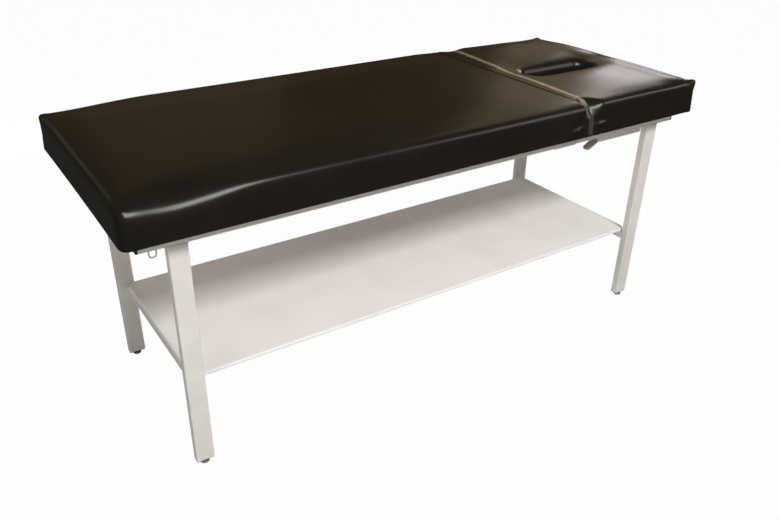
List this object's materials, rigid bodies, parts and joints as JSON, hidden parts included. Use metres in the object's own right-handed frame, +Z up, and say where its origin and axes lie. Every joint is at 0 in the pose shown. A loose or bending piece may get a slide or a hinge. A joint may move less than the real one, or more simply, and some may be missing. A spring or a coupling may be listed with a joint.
{
  "type": "treatment table",
  "caption": "Treatment table: cushioned top with a tilting head section and face slot, steel tube frame, low shelf.",
  "frame": {"origin": "on the floor under the middle of the cushioned top", "axes": "+X towards the head end, +Y to the far side in the picture, +Z up"},
  "size_m": [1.93, 0.773, 0.8459],
  "materials": {
    "vinyl": "near-black upholstery vinyl, satin",
    "plywood": "bare plywood",
    "frame_paint": "warm light grey powder coat, satin",
    "shelf_board": "off-white covered board, satin",
    "black_plastic": "black moulded plastic",
    "glide_plastic": "dark grey moulded plastic",
    "plain_steel": "bright zinc plate",
    "loop_wire": "bright zinc plated wire",
    "strap_clear": "clear, slightly tan soft plastic",
    "lever_paint": "warm light grey powder coat, satin"
  },
  "bodies": {
    "frame": {"brake_block": "frame_paint", "cross_tube_1": "frame_paint", "cross_tube_2": "frame_paint", "cross_tube_3": "frame_paint", "cross_tube_4": "frame_paint", "guide_pin_far_1": "plain_steel", "guide_pin_far_2": "plain_steel", "guide_pin_near_1": "plain_steel", "guide_pin_near_2": "plain_steel", "guide_plate_far": "frame_paint", "guide_plate_near": "frame_paint", "leg_foot_far": "frame_paint", "leg_foot_near": "frame_paint", "leg_head_far": "frame_paint", "leg_head_near": "frame_paint", "leg_insert_foot_far": "black_plastic", "leg_insert_foot_near": "black_plastic", "leg_insert_head_far": "black_plastic", "leg_insert_head_near": "black_plastic", "lever_plate": "frame_paint", "lever_shaft": "plain_steel", "main_cushion": "vinyl", "main_deck": "plywood", "rail_far": "frame_paint", "rail_near": "frame_paint", "rail_plug_foot_far": "black_plastic", "rail_plug_foot_near": "black_plastic", "rail_plug_head_far": "black_plastic", "rail_plug_head_near": "black_plastic", "roll_loop_far": "loop_wire", "roll_loop_near": "loop_wire", "shelf_bar_foot": "frame_paint", "shelf_bar_head": "frame_paint", "shelf_board": "shelf_board"},
    "head": {"head_deck": "plywood", "head_cushion": "vinyl", "sector_near": "frame_paint", "sector_far": "frame_paint", "strap": "strap_clear", "strap_button_near": "black_plastic", "strap_button_far": "black_plastic"},
    "lever": {"lever": "lever_paint"},
    "brake": {"brake_bar": "plain_steel"},
    "glide_foot_near": {"glide_foot_near": "glide_plastic"},
    "glide_foot_far": {"glide_foot_far": "glide_plastic"},
    "glide_head_near": {"glide_head_near": "glide_plastic"},
    "glide_head_far": {"glide_head_far": "glide_plastic"}
  },
  "joints": [
    {"name": "head_tilt", "type": "hinge", "parent": "frame", "child": "head", "pos_m": [0.4454, 0, 0.8339], "axis": [0, -1, 0], "range_deg": [0, 30]},
    {"name": "lever_turn", "type": "hinge", "parent": "frame", "child": "lever", "pos_m": [0.6689, -0.2698, 0.692], "axis": [0, -1, 0], "range_deg": [0, 40]},
    {"name": "brake_slide", "type": "slide", "parent": "frame", "child": "brake", "axis": [1, 0, 0], "range_m": [0, 0.0041]},
    {"name": "glide_level_foot_near", "type": "slide", "parent": "frame", "child": "glide_foot_near", "axis": [0, 0, 1], "range_m": [-0.01, 0.003]},
    {"name": "glide_level_foot_far", "type": "slide", "parent": "frame", "child": "glide_foot_far", "axis": [0, 0, 1], "range_m": [-0.01, 0.003]},
    {"name": "glide_level_head_near", "type": "slide", "parent": "frame", "child": "glide_head_near", "axis": [0, 0, 1], "range_m": [-0.01, 0.003]},
    {"name": "glide_level_head_far", "type": "slide", "parent": "frame", "child": "glide_head_far", "axis": [0, 0, 1], "range_m": [-0.01, 0.003]}
  ],
  "couplings": [
    {"joint": "brake_slide", "follows": "lever_turn", "m_per_rad": 0.0057296}
  ]
}
